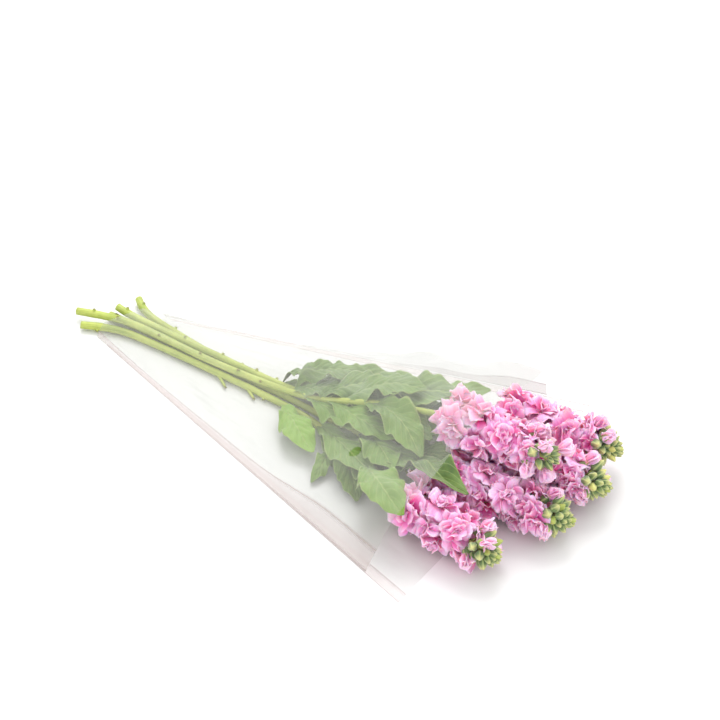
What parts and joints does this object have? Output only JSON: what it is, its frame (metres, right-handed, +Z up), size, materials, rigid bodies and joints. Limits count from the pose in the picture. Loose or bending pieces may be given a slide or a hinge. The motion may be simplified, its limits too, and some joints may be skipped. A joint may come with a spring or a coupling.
{
  "type": "sleeved bunch of stock flower stems",
  "caption": "Cut stock stems with double pink flower heads and wavy grey-green leaves, lying bundled in a flat tapering clear film sleeve.",
  "frame": {"origin": "the point of the sleeve's flat underside on its mid line, 0.28 m from the tip of the narrow end's front corner, on the surface that the bunch lies on", "axes": "+X along the bunch from the cut ends to the flower heads, +Y across it to the back of the picture, +Z up from the surface"},
  "size_m": [0.6335, 0.352, 0.1052],
  "materials": {
    "leafy_stem": "matte",
    "florets": "matte",
    "buds": "matte",
    "film_sleeve": "gloss"
  },
  "bodies": {
    "root": {"leafy_stem_front": "leafy_stem", "florets_front": "florets", "buds_front": "buds", "leafy_stem_middle": "leafy_stem", "florets_middle": "florets", "buds_middle": "buds", "leafy_stem_inner_back": "leafy_stem", "florets_inner_back": "florets", "buds_inner_back": "buds", "leafy_stem_outer_back": "leafy_stem", "florets_outer_back": "florets", "buds_outer_back": "buds", "leafy_stem_top": "leafy_stem", "florets_top": "florets", "buds_top": "buds", "film_sleeve": "film_sleeve"}
  },
  "joints": []
}
